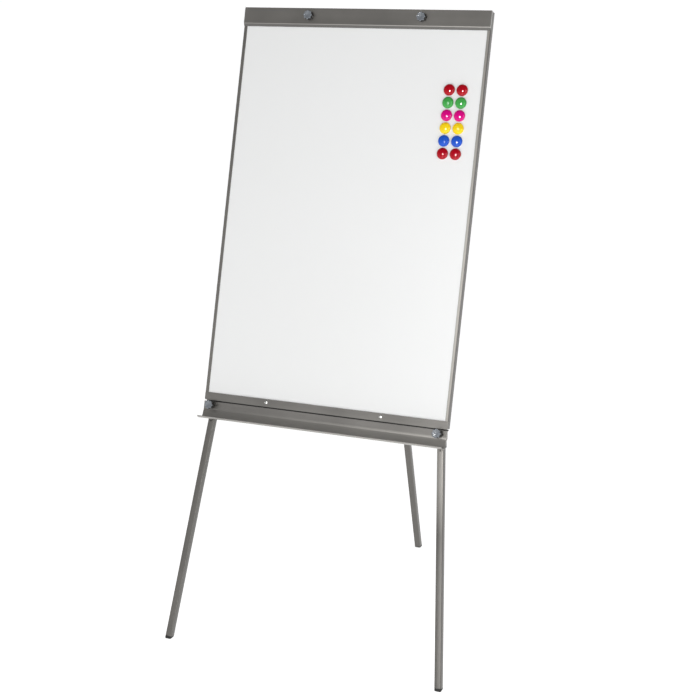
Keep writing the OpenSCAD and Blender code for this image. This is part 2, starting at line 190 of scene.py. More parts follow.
def swept(outline, low, high):
    """Solid along X with the outline drawn as (depth, height)."""
    return skinned([[(x, p[0], p[1]) for p in outline] for x in (low, high)])


def merged(*parts):
    """One bmesh out of several."""
    whole = bmesh.new()
    for part in parts:
        mesh = bpy.data.meshes.new("part")
        part.to_mesh(mesh)
        part.free()
        whole.from_mesh(mesh)
        bpy.data.meshes.remove(mesh)
    return whole


def moved(bm, offset, turn=None):
    """The bmesh turned about the origin and then moved."""
    if turn is not None:
        bmesh.ops.transform(bm, matrix=turn.to_4x4(), verts=bm.verts)
    bmesh.ops.translate(bm, vec=Vector(offset), verts=bm.verts)
    return bm


def eased(bm, width, segments=2, angle=30):
    """Rounds every edge sharper than the angle, in degrees."""
    sharp = [e for e in bm.edges if len(e.link_faces) == 2
             and e.calc_face_angle(0) > math.radians(angle)]
    bmesh.ops.bevel(bm, geom=sharp, offset=width, offset_type="OFFSET", segments=segments,
                    profile=0.5, affect="EDGES", clamp_overlap=True)
    return bm


def copied(node, turn):
    """A CAD node's solids as clean flat faces along the axes of turn."""
    bm = bmesh.new()
    bm.from_mesh(NODES[node].data)
    bmesh.ops.transform(bm, matrix=turn.transposed().to_4x4(), verts=bm.verts)
    bmesh.ops.remove_doubles(bm, verts=bm.verts, dist=0.002 * MM)
    bmesh.ops.dissolve_limit(bm, angle_limit=math.radians(1), verts=bm.verts, edges=bm.edges)
    return bm


def cylinder_along(direction, centre, radius, length):
    """Plain cylinder for cutting, centred on a point."""
    bm = lathe([(radius, -length / 2), (radius, length / 2)], 32)
    turn = direction.to_track_quat("Z", "Y").to_matrix()
    return moved(bm, centre, turn)


def without(bm, *cutters):
    """The bmesh with the cutters' solids taken out of it."""
    whole = bpy.data.meshes.new("whole")
    tool = bpy.data.meshes.new("tool")
    bm.to_mesh(whole)
    bm.free()
    cutter = merged(*cutters)
    cutter.to_mesh(tool)
    cutter.free()
    piece = bpy.data.objects.new("whole", whole)
    knife = bpy.data.objects.new("tool", tool)
    for o in (piece, knife):
        SCENE.collection.objects.link(o)
    cut = piece.modifiers.new("cut", "BOOLEAN")
    cut.object = knife
    cut.operation = "DIFFERENCE"
    cut.solver = "EXACT"
    result = bmesh.new()
    result.from_object(piece, bpy.context.evaluated_depsgraph_get())
    for o in (piece, knife):
        bpy.data.objects.remove(o)
    for mesh in (whole, tool):
        bpy.data.meshes.remove(mesh)
    return result


# Edges bent by more than this many degrees are shaded as sharp
SHARP_FROM = 32


def weigh_normals(piece):
    """Lets the large faces set the normals, so that they stay flat up to their round edges."""
    piece.modifiers.new("normals", "WEIGHTED_NORMAL").keep_sharp = True
    even = bpy.data.meshes.new_from_object(piece.evaluated_get(bpy.context.evaluated_depsgraph_get()))
    piece.modifiers.clear()
    plain, piece.data = piece.data, even
    bpy.data.meshes.remove(plain)


def add(name, bm, turn, body, material, nodes=(), at=(0, 0, 0), flat=False):
    """Makes a bmesh, drawn along the axes of turn from the point at, a piece that rides on a body. It takes
    the given material as its finish, and stands for the CAD nodes. flat keeps large faces even."""
    mesh = bpy.data.meshes.new(name)
    moved(bm, at, turn).to_mesh(mesh)
    bm.free()
    mesh.shade_smooth()
    mesh.set_sharp_from_angle(angle=math.radians(SHARP_FROM))
    mesh.materials.append(material)
    piece = bpy.data.objects.new(name, mesh)
    SCENE.collection.objects.link(piece)
    if flat:
        weigh_normals(piece)
    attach(piece, body)
    if nodes:
        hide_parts(*nodes)
    return piece


# ---- Materials ----

class Shading:
    """A node material in the making, with its grain drawn along the axes of turn."""

    def __init__(self, name, turn=None, **constants):
        self.material = bpy.data.materials.new(name)
        self.material.use_nodes = True
        self.tree = self.material.node_tree
        self.shader = self.tree.nodes["Principled BSDF"]
        for socket, value in constants.items():
            self.shader.inputs[socket.replace("_", " ")].default_value = value
        self.place = self.node("ShaderNodeTexCoord").outputs["Object"]
        if turn is not None:
            self.place = self.node("ShaderNodeMapping", {
                "Vector": self.place, "Rotation": turn.to_euler()}, vector_type="TEXTURE").outputs["Vector"]

    def node(self, kind, inputs=None, **settings):
        """A new node of a kind, with values or links for its inputs."""
        made = self.tree.nodes.new(kind)
        for name, value in settings.items():
            setattr(made, name, value)
        for socket, value in (inputs or {}).items():
            if isinstance(value, bpy.types.NodeSocket):
                self.tree.links.new(value, made.inputs[socket])
            else:
                made.inputs[socket].default_value = value
        return made

    def noise(self, scale, detail=2.0, stretch=(1, 1, 1), distortion=0.0):
        """Noise from 0 to 1, its grain drawn out where stretch is small."""
        place = self.node("ShaderNodeMapping", {"Vector": self.place, "Scale": stretch})
        made = self.node("ShaderNodeTexNoise", {
            "Vector": place.outputs["Vector"], "Scale": scale, "Detail": detail,
            "Distortion": distortion})
        return made.outputs["Fac"]

    def levels(self, value, low, high, start=0.3, end=0.7):
        """The value's stretch from start to end, spread from low to high."""
        made = self.node("ShaderNodeMapRange", {
            "Value": value, "From Min": start, "From Max": end, "To Min": low, "To Max": high})
        return made.outputs["Result"]

    def sum(self, a, b, share=1.0):
        """a plus a share of b."""
        made = self.node("ShaderNodeMath", {0: b, 1: share, 2: a}, operation="MULTIPLY_ADD")
        return made.outputs["Value"]

    def blend(self, factor, a, b):
        """Colour a where the factor is 0, and b where it is 1."""
        made = self.node("ShaderNodeMix", {"Factor": factor}, data_type="RGBA")
        for socket, value in ((6, a), (7, b)):
            if isinstance(value, bpy.types.NodeSocket):
                self.tree.links.new(value, made.inputs[socket])
            else:
                made.inputs[socket].default_value = (*value, 1)
        return made.outputs[2]

    def product(self, a, b):
        """a times b."""
        return self.node("ShaderNodeMath", {0: a, 1: b}, operation="MULTIPLY").outputs["Value"]

    def band(self, axis, start, end, soft):
        """1 between two places along an axis of the grain, and 0 outside them."""
        place = self.node("ShaderNodeSeparateXYZ", {"Vector": self.place}).outputs[axis]
        rise = self.levels(place, 0.0, 1.0, start - soft, start + soft)
        fall = self.levels(place, 1.0, 0.0, end - soft, end + soft)
        return self.product(rise, fall)

    def finish(self, colour=None, roughness=None, height=None, depth=0.0):
        """Links the given values to the shader, with height as a relief of that depth."""
        if colour is not None:
            self.tree.links.new(colour, self.shader.inputs["Base Color"])
        if roughness is not None:
            self.tree.links.new(roughness, self.shader.inputs["Roughness"])
        if height is not None:
            bump = self.node("ShaderNodeBump", {"Height": height, "Distance": depth})
            self.tree.links.new(bump.outputs["Normal"], self.shader.inputs["Normal"])
        return self.material


def shade(colour, share):
    """The colour made darker or paler by a share."""
    return tuple(min(1.0, c * share) for c in colour)


def metallic_paint(name, turn, colour, streak, coat, painted_light_bands=()):
    """Baked metallic lacquer under a clear coat: fine flakes, a faint orange peel, and streaks along the
    sheet. A band of painted light is a share and places (axis, start, end, softness): a stripe of painted
    highlight or painted shade where all the places meet."""
    s = Shading(name, turn, Metallic=0.8, Coat_Weight=coat, Coat_IOR=1.9, Coat_Roughness=0.15)
    cloud = s.noise(7.0, 3.0)
    flakes = s.noise(1400.0, 1.0)
    drawn = s.noise(60.0, 4.0, streak)
    peel = s.noise(260.0, 2.0)
    tone = s.sum(s.sum(s.levels(cloud, 0.0, 0.45), flakes, 0.35), drawn, 0.4)
    tint = s.blend(tone, shade(colour, 0.82), shade(colour, 1.2))
    for share, *places in painted_light_bands:
        within = s.band(*places[0])
        for place in places[1:]:
            within = s.product(within, s.band(*place))
        tint = s.blend(within, tint, shade(colour, share))
    roughness = s.levels(s.sum(drawn, cloud), 0.3, 0.42, start=0.6, end=1.4)
    return s.finish(tint, roughness, s.sum(peel, flakes, 0.5), 0.02 * MM)


def whiteboard_enamel():
    """Glossy baked enamel, faintly uneven, with wiped smears in its gloss."""
    s = Shading("white_enamel", Coat_Weight=0.35, Coat_Roughness=0.08)
    cloud = s.noise(1.6, 2.0)
    wiped = s.noise(5.0, 4.0, (1, 1, 6), 1.5)
    peel = s.noise(90.0, 1.0)
    tint = s.blend(cloud, (0.80, 0.805, 0.80), (0.83, 0.835, 0.835))
    return s.finish(tint, s.levels(wiped, 0.285, 0.31), peel, 0.008 * MM)


def zinc_plate(name, colour=(0.62, 0.62, 0.60), rough=(0.22, 0.4)):
    """Zinc plating, a little uneven."""
    s = Shading(name, Metallic=1.0)
    cloud = s.noise(160.0, 4.0)
    fine = s.noise(2600.0, 2.0)
    tint = s.blend(cloud, shade(colour, 0.86), shade(colour, 1.12))
    return s.finish(tint, s.levels(cloud, *rough), fine, 0.01 * MM)


def spangled_sheet():
    """Hot-dip zinc sheet: crystal spangles a centimetre across."""
    s = Shading("zinc_sheet", Metallic=0.85)
    cells = s.node("ShaderNodeTexVoronoi", {"Vector": s.place, "Scale": 70.0}).outputs["Color"]
    grey = s.node("ShaderNodeSeparateColor", {"Color": cells}).outputs["Red"]
    tint = s.blend(grey, (0.46, 0.47, 0.48), (0.60, 0.61, 0.62))
    return s.finish(tint, s.levels(grey, 0.3, 0.48, 0, 1), s.noise(500.0, 3.0), 0.01 * MM)


def paper_core():
    """Kraft paper board with its fibres."""
    s = Shading("board_core", Roughness=0.9)
    fibre = s.noise(300.0, 5.0, (0.15, 1, 1))
    tint = s.blend(fibre, (0.30, 0.20, 0.11), (0.47, 0.34, 0.20))
    return s.finish(tint, None, fibre, 0.1 * MM)


def moulded(name, colour, rough=(0.38, 0.55), grain=1100.0, depth=0.02 * MM, **constants):
    """Moulded plastic or rubber with a fine eroded grain."""
    s = Shading(name, **constants)
    cloud = s.noise(45.0, 3.0)
    fine = s.noise(grain, 2.0)
    tint = s.blend(s.sum(s.levels(cloud, 0.0, 0.6), fine, 0.4), shade(colour, 0.85), shade(colour, 1.2))
    return s.finish(tint, s.levels(cloud, *rough), fine, depth)


def glossy_plastic(name, colour):
    """Polished styrene of a magnet's cap, with faint flow marks from its gate."""
    s = Shading(name, Specular_IOR_Level=0.02, Coat_Weight=0.5, Coat_Roughness=0.03)
    flow = s.noise(70.0, 3.0, (1, 1, 0.4), 2.0)
    scratches = s.noise(240.0, 2.0, (1, 0.1, 1))
    tint = s.blend(flow, shade(colour, 0.86), shade(colour, 1.12))
    return s.finish(tint, s.levels(scratches, 0.07, 0.16), flow, 0.01 * MM)


GREY = (0.165, 0.158, 0.147)
# Streaks drawn out along X and along Z
ALONG_X = (0.02, 1, 1)
ALONG_Z = (1, 1, 0.02)
# Bands of painted light: painted highlights on folds and faces turned up, and painted shade on faces turned
# down or into a gap
# Mask that makes a painted highlight stronger towards the right
PAINTED_LIGHT_TO_THE_RIGHT = ("X", 0.0, 1.0, 0.3)
BAR_LOW = span("clamp_bar", BOARD)[0].z
TRAY_LOW = span("pen_tray", BOARD)[0].z
TRAY_HIGH = span("pen_tray", BOARD)[1].z
FRAME_RIGHT = span("side_frame_right", BOARD)[1].x
TRAY_STRIP = 22.5 * MM
CREASE = TRAY_HIGH - TRAY_STRIP
RAIL_LOW = span("bottom_rail", BOARD)[0].z
# Painted shade: a dark stripe along the bottom rail's lower edge, over the gap above the tray
FRAME_PAINT = metallic_paint("frame_paint", BOARD, shade(GREY, 1.25), ALONG_X, coat=0.5, painted_light_bands=(
    (0.12, ("Z", RAIL_LOW - 1 * MM, RAIL_LOW + 4.3 * MM, 0.3 * MM)),))
# Painted light on the clamp bar: a painted highlight along its fold, stronger towards the right, and
# painted shade along its lower edge
BAR_PAINT = metallic_paint("bar_paint", BOARD, shade(GREY, 1.35), ALONG_X, coat=0.5, painted_light_bands=(
    (1.7, ("Z", BAR_LOW + 5.5 * MM, BAR_LOW + 8 * MM, 0.6 * MM), PAINTED_LIGHT_TO_THE_RIGHT),
    (0.38, ("Z", BAR_LOW - 1 * MM, BAR_LOW + 6.5 * MM, 0.6 * MM))))
# The side frames are one paint in lit and shaded copies: the left one paler, and on the right one a painted
# reflection along its inner band and painted shade on its outer edge
SIDE_PAINT = {
    "left": metallic_paint("side_paint_left", BOARD, shade(GREY, 1.2), ALONG_Z, coat=0.4),
    "right": metallic_paint("side_paint_right", BOARD, GREY, ALONG_Z, coat=0.2, painted_light_bands=(
        (2.3, ("X", FRAME_RIGHT - 12 * MM, FRAME_RIGHT - 2.5 * MM, 0.4 * MM)),
        (0.6, ("X", FRAME_RIGHT - 0.6 * MM, FRAME_RIGHT + 1 * MM, 0.3 * MM)))),
}
# Painted highlights on the tray: its slope and floor, its fold, stronger towards the right, and its lip
TRAY_PAINT = metallic_paint("tray_paint", BOARD, shade(GREY, 1.2), ALONG_X, coat=0.6, painted_light_bands=(
    (1.6, ("Z", TRAY_LOW, CREASE, 0.6 * MM)),
    (2.0, ("Z", CREASE - 3.5 * MM, CREASE + 4.5 * MM, 2.5 * MM), PAINTED_LIGHT_TO_THE_RIGHT),
    (1.4, ("Z", TRAY_LOW - 1 * MM, TRAY_LOW + 5 * MM, 0.5 * MM))))


def leg_bands(side):
    """Painted light on a sliding leg: a painted highlight on its front just under the tray, and painted
    shade on its right side.
    """
    low, high = span("front_leg_" + side, LEG[side])
    from_top = 300 * MM
    under_tray = high.z - from_top
    # Share of the painted highlight on each leg's front
    paler = {"left": 1.1, "right": 2.2}[side]
    return (
        (paler, ("Y", low.y - 1 * MM, low.y + 1.5 * MM, 0.5 * MM),
         ("Z", under_tray - 160 * MM, under_tray + 100 * MM, 70 * MM)),
        (0.8, ("X", high.x - 0.8 * MM, high.x + 1 * MM, 0.3 * MM)),
    )


# The legs are one paint in lit and shaded copies: the right leg's darker grey is painted shade
LEG_GREY = {"left": shade(GREY, 0.95), "right": shade(GREY, 0.8)}
LEG_PAINT = {side: metallic_paint("leg_paint_" + side, LEG[side], LEG_GREY[side], ALONG_Z, coat=0.1,
                                  painted_light_bands=leg_bands(side)) for side in SIDES}
LEG_PAINT["rear"] = metallic_paint("leg_paint_rear", REAR, shade(GREY, 0.78), ALONG_Z, coat=0.1)
ENAMEL = whiteboard_enamel()
ZINC = zinc_plate("zinc")
BRIGHT_ZINC = zinc_plate("screw_zinc", (0.86, 0.86, 0.84), (0.16, 0.28))
DARK_ZINC = zinc_plate("weld_bead", (0.32, 0.31, 0.29), (0.4, 0.6))
BACK_SHEET = spangled_sheet()
CORE = paper_core()
BLACK = moulded("black_plastic", (0.021, 0.021, 0.021))
KNOB_FACE = moulded("knob_face", (0.15, 0.165, 0.185), (0.22, 0.36), Coat_Weight=0.8, Coat_Roughness=0.1)
RUBBER = moulded("foot_rubber", (0.014, 0.014, 0.013), (0.6, 0.8), 700.0, 0.05 * MM)
NYLON = moulded("pad_nylon", (0.72, 0.70, 0.62), (0.35, 0.5), Subsurface_Weight=0.15,
                Subsurface_Radius=(0.002, 0.0018, 0.0014))
FERRITE = moulded("ferrite", (0.045, 0.045, 0.05), (0.35, 0.6), 500.0, Metallic=0.4)
MAGNET_COLOURS = {
    "magnet_red": (0.40, 0.0, 0.008),
    "magnet_green": (0.055, 0.36, 0.07),
    "magnet_pink": (0.66, 0.0, 0.21),
    "magnet_yellow": (0.93, 0.64, 0.01),
    "magnet_blue": (0.014, 0.09, 0.56),
}
MAGNET_ROWS = ["magnet_red", "magnet_green", "magnet_pink", "magnet_yellow", "magnet_blue", "magnet_red"]
MAGNET_PAINT = {slot: glossy_plastic(slot, colour) for slot, colour in MAGNET_COLOURS.items()}


def repaint(material, *nodes):
    """Gives CAD nodes that keep their shape a material."""
    for node in nodes:
        materials = NODES[node].data.materials
        materials.clear()
        materials.append(material)


# ---- Board and frame ----

def board():
    """The sheets keep their CAD shape. The folded and drawn parts get round edges."""
    repaint(ENAMEL, "board_face_sheet")
    repaint(CORE, "board_core")
    repaint(BACK_SHEET, "board_back_sheet")
    for side in SIDES:
        node = "side_frame_" + side
        add(node, eased(copied(node, BOARD), 0.5 * MM, 3), BOARD, "board",
            SIDE_PAINT[side], [node], flat=True)
    for node in ("top_rail", "bottom_rail", "crossbar"):
        add(node, eased(copied(node, BOARD), 0.4 * MM, 3), BOARD, "board",
            FRAME_PAINT, [node], flat=True)


def clamp_bar():
    """Folded strip that the two knobs press on the paper."""
    bar = eased(copied("clamp_bar", BOARD), 0.5 * MM, 3)
    add("clamp_bar", bar, BOARD, "clamp_bar", BAR_PAINT, ["clamp_bar"], flat=True)


def pen_tray():
    """One sheet bent along X: an upright strip, a slope, a narrow floor and a curled lip."""
    low, high = span("pen_tray", BOARD)
    thick = 1.5 * MM
    lean = 6 * MM
    lip_radius = 14 * MM
    lip_angle = math.radians(50)
    front = high.y - thick
    floor = low.z + thick
    lip_start = low.y + lip_radius * math.sin(lip_angle) + thick * 0.1
    corners = [
        (front, high.z, 0),
        (front, CREASE, 2.5 * MM),
        (front - lean, floor, 2.0 * MM),
        (lip_start, floor, 0),
    ]
    path = rounded(corners)
    steps = 12
    for i in range(1, steps + 1):
        a = lip_angle * i / steps
        path.append(Vector((lip_start - lip_radius * math.sin(a), floor + lip_radius * (1 - math.cos(a)))))
    back = beside(path, thick)
    tray = eased(swept(path + back[::-1], low.x, high.x), 0.3 * MM, 2, 60)
    add("pen_tray", tray, BOARD, "board", TRAY_PAINT, ["pen_tray"], flat=True)


# ---- Tubes ----

TUBE_WALL = 1.5 * MM
TUBE_ROUND = 2.2 * MM
LEG_WALL = 1.2 * MM
LEG_ROUND = 1.6 * MM
CLAMP_HOLE = 4.1 * MM
PEG_HOLE = 1.8 * MM
PEG_BELOW_KNOB = 45 * MM


def tube(outer, wall, radius, low, high, ease=0.3 * MM):
    """Square tube along Z with round corners and eased ends."""
    inner = outer - 2 * wall
    rows = [
        (outer - 2 * ease, low), (outer, low + ease), (outer, high - ease), (outer - 2 * ease, high),
        (inner + 2 * ease, high), (inner, high - ease), (inner, low + ease), (inner + 2 * ease, low),
    ]
    loops = []
    tightest = 0.25 * MM
    for size, z in rows:
        corner = max(tightest, radius - (outer - size) / 2)
        loops.append([(p.x, p.y, z) for p in square_loop(size, corner)])
    return skinned(loops, ring=True)


def collar(name, low, high, turn, body, node):
    """Sleeve at the end of a tube."""
    centre = (low + high) / 2
    sleeve = tube(high.x - low.x, 1.75 * MM, TUBE_ROUND, low.z, high.z, 0.5 * MM)
    moved(sleeve, (centre.x, centre.y, 0))
    add(name, sleeve, turn, body, BLACK, [node])


def tubes():
    """Outer tubes of the front legs, each with the hole for its clamp, and the sliding tubes, each
    with a peg hole in its front."""
    for side in SIDES:
        turn = LEG[side]
        boss_low, boss_high = span("threaded_bosses", turn, on_side(side))
        knob_at = (boss_low + boss_high) / 2
        for node, body, wall, radius in (
            ("leg_tube_" + side, "board", TUBE_WALL, TUBE_ROUND),
            ("front_leg_" + side, "front_leg_" + side, LEG_WALL, LEG_ROUND),
        ):
            low, high = span(node, turn)
            axis = ((low + high) / 2).to_2d()
            bm = moved(tube(high.x - low.x, wall, radius, low.z, high.z), (axis.x, axis.y, 0))
            if body == "board":
                hole = cylinder_along(Y, (axis.x, low.y, knob_at.z), CLAMP_HOLE, 8 * MM)
            else:
                hole = cylinder_along(Y, (axis.x, low.y, knob_at.z - PEG_BELOW_KNOB), PEG_HOLE, 6 * MM)
            add(node, without(bm, hole), turn, body, LEG_PAINT[side], [node])
        low, high = span("tube_collars", turn, on_side(side))
        collar("tube_collar_" + side, low, high, turn, "board", "tube_collars")


def rear_tubes():
    """Outer tube of the rear leg, with the holes for its pivot and clamp, and its sliding tube."""
    low, high = span("rear_leg_tube", REAR)
    bolt_low, bolt_high = span("hinge_bolt", REAR)
    pivot = (bolt_low + bolt_high) / 2
    boss_low, boss_high = span("rear_boss", REAR)
    knob_at = (boss_low + boss_high) / 2
    axis = (low + high) / 2
    outer = moved(tube(high.x - low.x, TUBE_WALL, TUBE_ROUND, low.z, high.z), (0, axis.y, 0))
    outer = without(outer,
                    cylinder_along(X, (0, pivot.y, pivot.z), 4.05 * MM, 40 * MM),
                    cylinder_along(Y, (0, high.y, knob_at.z), CLAMP_HOLE, 8 * MM))
    add("rear_leg_tube", outer, REAR, "rear_tube", LEG_PAINT["rear"], ["rear_leg_tube"])
    low, high = span("rear_leg", REAR)
    inner = moved(tube(high.x - low.x, LEG_WALL, LEG_ROUND, low.z, high.z), (0, axis.y, 0))
    add("rear_leg", inner, REAR, "rear_leg", LEG_PAINT["rear"], ["rear_leg"])
    low, high = span("rear_collar", REAR)
    collar("rear_collar", low, high, REAR, "rear_tube", "rear_collar")


def feet():
    """Rubber plugs, round at the lip and cut level with the floor."""
    for name, leg, turn, body in (
        ("foot_left", "front_leg_left", LEG["left"], "front_leg_left"),
        ("foot_right", "front_leg_right", LEG["right"], "front_leg_right"),
        ("foot_rear", "rear_leg", REAR, "rear_leg"),
    ):
        low, high = span(leg, turn)
        centre = (low + high) / 2
        width = high.x - low.x
        inner = width - 3.2 * MM
        loops = [[(centre.x + p.x, centre.y + p.y, z) for p in square_loop(size, corner)]
                 for size, corner, z in (
                     (inner - 1.5 * MM, 1.0 * MM, low.z + 25 * MM),
                     (inner, 1.2 * MM, low.z + 23 * MM),
                     (inner, 1.2 * MM, low.z + 0.1 * MM),
                     (width - 0.8 * MM, 1.4 * MM, low.z),
                     (width, 1.8 * MM, low.z - 0.5 * MM))]
        for inset, level in ((0, 3.0), (0.3, 1.7), (0.9, 0.7), (1.9, 0.0)):
            loop = []
            for p in square_loop(width - 2 * inset * MM, 1.8 * MM):
                x = centre.x + p.x
                y = centre.y + p.y
                z = (level * MM - turn[2][0] * x - turn[2][1] * y) / turn[2][2]
                loop.append((x, y, z))
            loops.append(loop)
        add(name, skinned(loops), turn, body, RUBBER, [name])


# ---- Knobs, studs and screws, drawn outward along Z ----

LOBES = 8
STUD_RADIUS = 2.95 * MM


def lobed(depth, full_from):
    """Radius of a star knob: the scallops fade out on small radii."""
    def shape(radius, height, angle):
        share = max(0.0, min(1.0, (radius - full_from) / (3 * MM)))
        dip = (0.5 - 0.5 * math.cos(LOBES * angle)) ** 1.6
        return radius - depth * share * dip
    return shape


def knob_bodies():
    """The star body and the cap in its face."""
    rise = in_mm(
        (0.3, 11.0), (3.0, 11.0), (3.0, 0.4), (3.4, 0.0), (6.5, 0.0), (7.0, 0.5), (7.0, 2.4), (7.3, 2.9),
        (8.5, 3.0), (11.2, 3.0), (12.0, 3.3), (12.4, 4.0), (12.5, 5.2), (12.4, 12.4), (12.2, 13.2),
        (11.8, 13.45), (11.3, 13.5), (11.2, 13.1), (0.4, 13.0),
    )
    face = in_mm(
        (0.4, 13.05), (11.0, 13.05), (11.1, 13.5), (11.3, 13.6), (12.0, 13.62), (12.3, 13.8),
        (12.4, 14.2), (12.25, 14.6), (11.8, 14.9), (11.0, 15.0), (10.0, 14.9), (9.0, 14.6),
        (7.6, 14.4), (2.4, 14.35), (2.0, 14.2), (0.4, 14.15),
    )
    shape = lobed(2.3 * MM, 7.0 * MM)
    return lathe(rise, 96, shape), lathe(face, 96, shape)


def knob(name, turn, at):
    """A black star knob with a grey cap pressed into its face. Both turn on the knob's own body."""
    rise, face = knob_bodies()
    cap = name + "_cap"
    add(name, rise, turn, name, BLACK, [name], at)
    add(cap, face, turn, name, KNOB_FACE, [cap], at)


def threaded(radius, low, high, pitch=1.0 * MM, turns=8, count=24):
    """Rod along Z with a rolled helical thread between plain chamfered ends."""
    def shape(r, height, angle):
        if r < radius:
            return r
        phase = (height / pitch - angle / (2 * math.pi)) % 1
        fade = min(1.0, (height - low) / pitch - 0.5, (high - height) / pitch - 0.5)
        return r - 0.32 * MM * max(0.0, fade) * (1 - abs(2 * phase - 1))
    steps = max(4, round((high - low) / pitch * turns))
    middle = [(radius, low + (high - low) * (i + 1) / (steps + 2)) for i in range(steps + 1)]
    return lathe([(radius - 0.5 * MM, low)] + middle + [(radius - 0.5 * MM, high)], count, shape)


def hex_solid(across, low, high, hole=0.0):
    """Hexagon along Z with the round chamfer of a turned nut on both ends."""
    def shape(r, height, angle):
        if r <= hole * 1.2:
            return r
        flat = across / 2 / math.cos((angle + math.pi / 6) % (math.pi / 3) - math.pi / 6)
        return min(flat, r)
    corner = across / math.sqrt(3)
    ease = 0.9 * MM
    rise = [(corner - ease, low), (corner - 0.3 * ease, low + 0.25 * ease), (corner, low + 0.6 * ease),
            (corner, high - 0.6 * ease), (corner - 0.3 * ease, high - 0.25 * ease), (corner - ease, high)]
    if hole:
        return lathe([(hole, low)] + rise + [(hole, high)], 96, shape, ring=True)
    return lathe([(0.3 * MM, low)] + rise + [(0.3 * MM, high)], 96, shape)


def clamp_knobs():
    """The two knobs on the clamp bar, and the studs that carry them."""
    for side in SIDES:
        node = "clamp_knob_" + side
        low, high = span(node, KNOB)
        at = KNOB @ Vector(((low.x + high.x) / 2, (low.y + high.y) / 2, low.z))
        knob(node, KNOB, at)
        stud_low, stud_high = span("pad_studs", KNOB, on_side(side))
        centre = (stud_low + stud_high) / 2
        flange = in_mm((0.5, 0), (4.6, 0), (5.0, 0.2), (5.0, 0.9), (4.7, 1.1), (0.5, 1.1))
        seat = moved(lathe(flange, 48), (centre.x, centre.y, stud_low.z))
        rod = moved(threaded(STUD_RADIUS, stud_low.z + 1.0 * MM, stud_high.z), (centre.x, centre.y, 0))
        add("pad_stud_" + side, merged(seat, rod), KNOB, "board", ZINC, ["pad_studs"])


def clamp(turn, pad, knob_node):
    """Pad, stud and knob of a leg clamp, along Z of turn. The stud turns with its knob."""
    low, high = span(pad, turn)
    centre = (low + high) / 2
    disc = lathe(in_mm((0.4, 0), (3.5, 0), (4.0, 0.5), (4.0, 2.6), (3.7, 3.0), (0.4, 3.0)), 48)
    add(pad, disc, turn, pad, NYLON, [pad], turn @ Vector((centre.x, centre.y, low.z)))
    stud = knob_node + "_stud"
    low, high = span(stud, turn)
    rod = threaded(STUD_RADIUS, 0.05 * MM, high.z - low.z)
    add(stud, rod, turn, knob_node, ZINC, [stud], turn @ Vector((centre.x, centre.y, low.z)))
    low = span(knob_node, turn)[0]
    knob(knob_node, turn, turn @ Vector((centre.x, centre.y, low.z)))


def weld_bead(radius, size):
    """Rippled ring of weld, standing on Z = 0."""
    def rippled(r, height, angle):
        return r + 0.08 * MM * math.sin(31 * angle)
    section = []
    steps = 16
    for i in range(steps):
        angle = math.pi * 2 * i / steps
        section.append((radius + size * math.cos(angle), max(0.0, size * math.sin(angle))))
    return lathe(section, 96, rippled, ring=True)


def boss(name, turn, body, node, keep=None):
    """Round boss with a stepped bore, and the weld bead that holds it to the tube."""
    low, high = span(node, turn, keep)
    centre = (low + high) / 2
    at = turn @ Vector((centre.x, centre.y, low.z))
    profile = in_mm((4.1, 0.2), (6.4, 0.0), (6.5, 0.2), (6.5, 9.2), (5.8, 10.0), (3.6, 10.0),
                    (3.05, 9.5), (3.05, 4.6), (4.1, 4.5))
    add(name, lathe(profile, ring=True), turn, body, ZINC, [node], at)
    add(name + "_weld", weld_bead(7.0 * MM, 0.75 * MM), turn, body, DARK_ZINC, (), at)


def clamps():
    """The three clamps that hold the sliding legs."""
    for side in SIDES:
        boss("threaded_boss_" + side, KNOB, "board", "threaded_bosses", on_side(side))
        clamp(KNOB, "leg_pad_" + side, "leg_knob_" + side)
    back = REAR.col[1].copy()
    turn = axes(X, back.cross(X), back)
    boss("rear_boss", turn, "rear_tube", "rear_boss")
    clamp(turn, "rear_pad", "rear_knob")


def pan_head(radius, height):
    """Cross-recessed pan head on Z = 0."""
    head = lathe([(0.3 * MM, -0.2 * MM), (radius - 0.1 * MM, -0.2 * MM)] + [
        (p.x, p.y) for p in rounded(
            [(radius, 0, 0), (radius, height * 0.45, 1.0 * MM), (radius * 0.55, height, 2.5 * MM),
             (0.3 * MM, height, 0)])], 64)
    arms = []
    for quarter in (0, 1):
        arm = bmesh.new()
        bmesh.ops.create_cube(arm, size=1, matrix=Matrix.Diagonal((5.2 * MM, 1.05 * MM, 3.4 * MM, 1)))
        for v in arm.verts:
            if v.co.z < 0:
                v.co.x *= 0.45
                v.co.y *= 0.6
        arms.append(moved(arm, (0, 0, height), Matrix.Rotation(quarter * math.pi / 2, 3, "Z")))
    head = without(head, arms[0])
    return without(head, arms[1])


def rail_screws():
    """The two bright screws in the bottom rail, each stopped at its own angle."""
    low, high = span("rail_screws", KNOB)
    head_h = 2.4 * MM
    for side, x, twist in (("left", low.x + 4.5 * MM, 20), ("right", high.x - 4.5 * MM, 65)):
        head_low = high.z - head_h
        turned = Matrix.Rotation(math.radians(twist), 3, "Z")
        head = moved(pan_head(4.5 * MM, 2.35 * MM), (0, 0, 0), turned)
        rod = threaded(2.0 * MM, low.z - head_low, 0.0, 1.4 * MM, 6, 20)
        at = KNOB @ Vector((x, (low.y + high.y) / 2, head_low))
        screw = add("rail_screw_" + side, merged(head, rod), KNOB, "board", BRIGHT_ZINC,
                    ["rail_screws"], at)
        SHINY.objects.link(screw)


def button_head():
    """Head of a hexagon socket screw on Z = 0."""
    head = lathe(in_mm((0.3, 0), (4.3, 0), (4.5, 0.3), (4.4, 0.9), (4.0, 1.9), (3.3, 2.8), (2.6, 3.35),
                       (1.9, 3.5), (0.3, 3.5)), 48)
    return without(head, hex_solid(2.9 * MM, 1.5 * MM, 5.5 * MM))


